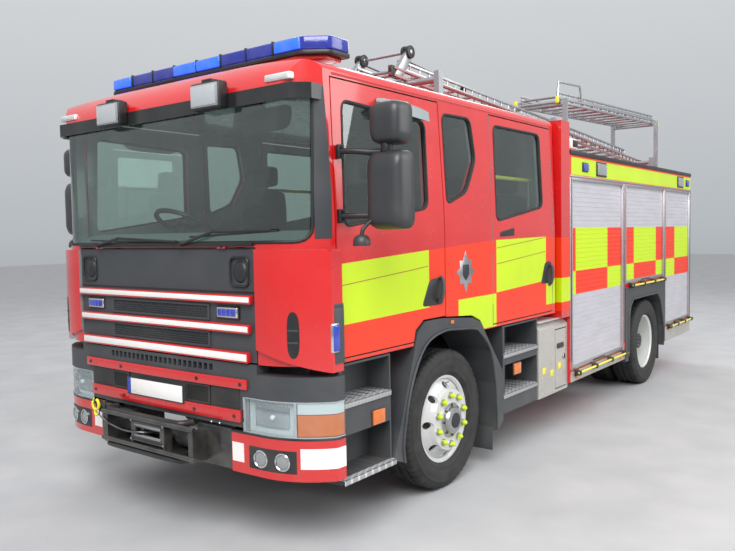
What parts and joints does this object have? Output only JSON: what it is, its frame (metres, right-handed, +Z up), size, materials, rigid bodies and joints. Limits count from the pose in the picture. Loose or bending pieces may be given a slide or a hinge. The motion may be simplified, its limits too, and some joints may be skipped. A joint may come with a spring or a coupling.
{
  "type": "fire engine",
  "caption": "Crew-cab fire engine with side lockers behind roller shutters, a front winch and ladders on a roof gantry; wheels, steering, doors, grille lid and main ladder move.",
  "frame": {"origin": "on the ground, in the middle of the overall box, mirrors and ladders included", "axes": "+X the vehicle's left side, +Y rearwards, +Z up"},
  "size_m": [3.196, 7.8, 3.2844],
  "materials": {
    "bare_aluminium": "brushed",
    "clear_glass": "polished",
    "dark_plastic": "matte",
    "engine_grey": "rough",
    "frame_black": "satin",
    "grey_trim": "matte",
    "grille_red": "gloss",
    "ladder_maroon": "satin",
    "lamp_blue": "polished",
    "lamp_clear": "polished",
    "lamp_red": "polished",
    "red_paint": "gloss",
    "seat_fabric": "matte",
    "shutter_silver": "satin",
    "tyre_rubber": "matte",
    "wheel_silver": "satin",
    "wire_rope": "brushed",
    "yellow_paint": "gloss"
  },
  "bodies": {
    "chassis": {"body_shell": "red_paint", "bumper_corners": "red_paint", "cab_glass": "clear_glass", "cab_shell": "red_paint", "cab_steps": "dark_plastic", "chassis_frame": "frame_black", "corner_panels": "red_paint", "dashboard": "dark_plastic", "engine_block": "engine_grey", "front_axle": "frame_black", "front_bumper": "dark_plastic", "fuel_tank": "frame_black", "grab_rails": "yellow_paint", "headlamps": "lamp_clear", "light_bar": "lamp_blue", "rear_axle": "frame_black", "rear_bumper": "grey_trim", "roller_shutters": "shutter_silver", "roof_gantry": "bare_aluminium", "seats": "seat_fabric", "second_ladder": "bare_aluminium", "side_locker": "bare_aluminium", "steering_wheel": "dark_plastic", "sun_visor": "dark_plastic", "tail_lamps": "lamp_red", "tow_jaw": "frame_black", "wheel_arches": "dark_plastic", "winch": "frame_black", "winch_hook": "yellow_paint", "winch_rope": "wire_rope", "wipers": "dark_plastic"},
    "front_left_wheel": {"front_left_tyre": "tyre_rubber", "front_left_rim": "wheel_silver"},
    "front_right_wheel": {"front_right_tyre": "tyre_rubber", "front_right_rim": "wheel_silver"},
    "rear_left_wheels": {"rear_left_tyres": "tyre_rubber", "rear_left_rims": "wheel_silver"},
    "rear_right_wheels": {"rear_right_tyres": "tyre_rubber", "rear_right_rims": "wheel_silver"},
    "knuckle_left": {"steering_knuckle_left": "frame_black"},
    "knuckle_right": {"steering_knuckle_right": "frame_black"},
    "track_rod": {"track_rod": "frame_black"},
    "front_door_left": {"front_door_left": "red_paint", "front_door_glass_left": "clear_glass", "mirror_left": "dark_plastic"},
    "front_door_right": {"front_door_right": "red_paint", "front_door_glass_right": "clear_glass", "mirror_right": "dark_plastic"},
    "rear_door_left": {"rear_door_left": "red_paint", "rear_door_glass_left": "clear_glass"},
    "rear_door_right": {"rear_door_right": "red_paint", "rear_door_glass_right": "clear_glass"},
    "grille_lid": {"grille_panel": "grille_red"},
    "side_locker_door": {"side_locker_door": "bare_aluminium"},
    "main_ladder": {"main_ladder": "ladder_maroon"}
  },
  "joints": [
    {"name": "steer_left", "type": "hinge", "parent": "chassis", "child": "knuckle_left", "pos_m": [0.85, -2.26, 0.479], "axis": [0, 0, 1], "range_deg": [-38, 38]},
    {"name": "steer_right", "type": "hinge", "parent": "chassis", "child": "knuckle_right", "pos_m": [-0.85, -2.26, 0.479], "axis": [0, 0, 1], "range_deg": [-38, 38]},
    {"name": "track_rod_pivot", "type": "hinge", "parent": "knuckle_left", "child": "track_rod", "pos_m": [0.85, -2.07, 0.349], "axis": [0, 0, 1], "range_deg": [-38, 38]},
    {"name": "front_left_spin", "type": "hinge", "parent": "knuckle_left", "child": "front_left_wheel", "pos_m": [1.02, -2.26, 0.479], "axis": [1, 0, 0], "continuous": true},
    {"name": "front_right_spin", "type": "hinge", "parent": "knuckle_right", "child": "front_right_wheel", "pos_m": [-1.02, -2.26, 0.479], "axis": [1, 0, 0], "continuous": true},
    {"name": "rear_left_spin", "type": "hinge", "parent": "chassis", "child": "rear_left_wheels", "pos_m": [0.916, 1.99, 0.479], "axis": [1, 0, 0], "continuous": true},
    {"name": "rear_right_spin", "type": "hinge", "parent": "chassis", "child": "rear_right_wheels", "pos_m": [-0.916, 1.99, 0.479], "axis": [1, 0, 0], "continuous": true},
    {"name": "front_door_left_hinge", "type": "hinge", "parent": "chassis", "child": "front_door_left", "pos_m": [1.215, -3.4895, 1.45], "axis": [0, 0, -1], "range_deg": [0, 75]},
    {"name": "front_door_right_hinge", "type": "hinge", "parent": "chassis", "child": "front_door_right", "pos_m": [-1.215, -3.4895, 1.45], "axis": [0, 0, 1], "range_deg": [0, 75]},
    {"name": "rear_door_left_hinge", "type": "hinge", "parent": "chassis", "child": "rear_door_left", "pos_m": [1.215, -1.7025, 1.45], "axis": [0, 0, -1], "range_deg": [0, 80]},
    {"name": "rear_door_right_hinge", "type": "hinge", "parent": "chassis", "child": "rear_door_right", "pos_m": [-1.215, -1.7025, 1.45], "axis": [0, 0, 1], "range_deg": [0, 80]},
    {"name": "grille_lid_hinge", "type": "hinge", "parent": "chassis", "child": "grille_lid", "pos_m": [0, -3.764, 1.6985], "axis": [-1, 0, 0], "range_deg": [0, 85]},
    {"name": "side_locker_hinge", "type": "hinge", "parent": "chassis", "child": "side_locker_door", "pos_m": [1.222, -0.5965, 0.65], "axis": [0, 0, -1], "range_deg": [0, 100]},
    {"name": "main_ladder_slide", "type": "slide", "parent": "chassis", "child": "main_ladder", "axis": [0, 0.9985, -0.0539], "range_m": [0, 1.9]}
  ],
  "couplings": [
    {"joint": "steer_right", "follows": "steer_left", "ratio": 1},
    {"joint": "track_rod_pivot", "follows": "steer_left", "ratio": -1}
  ]
}
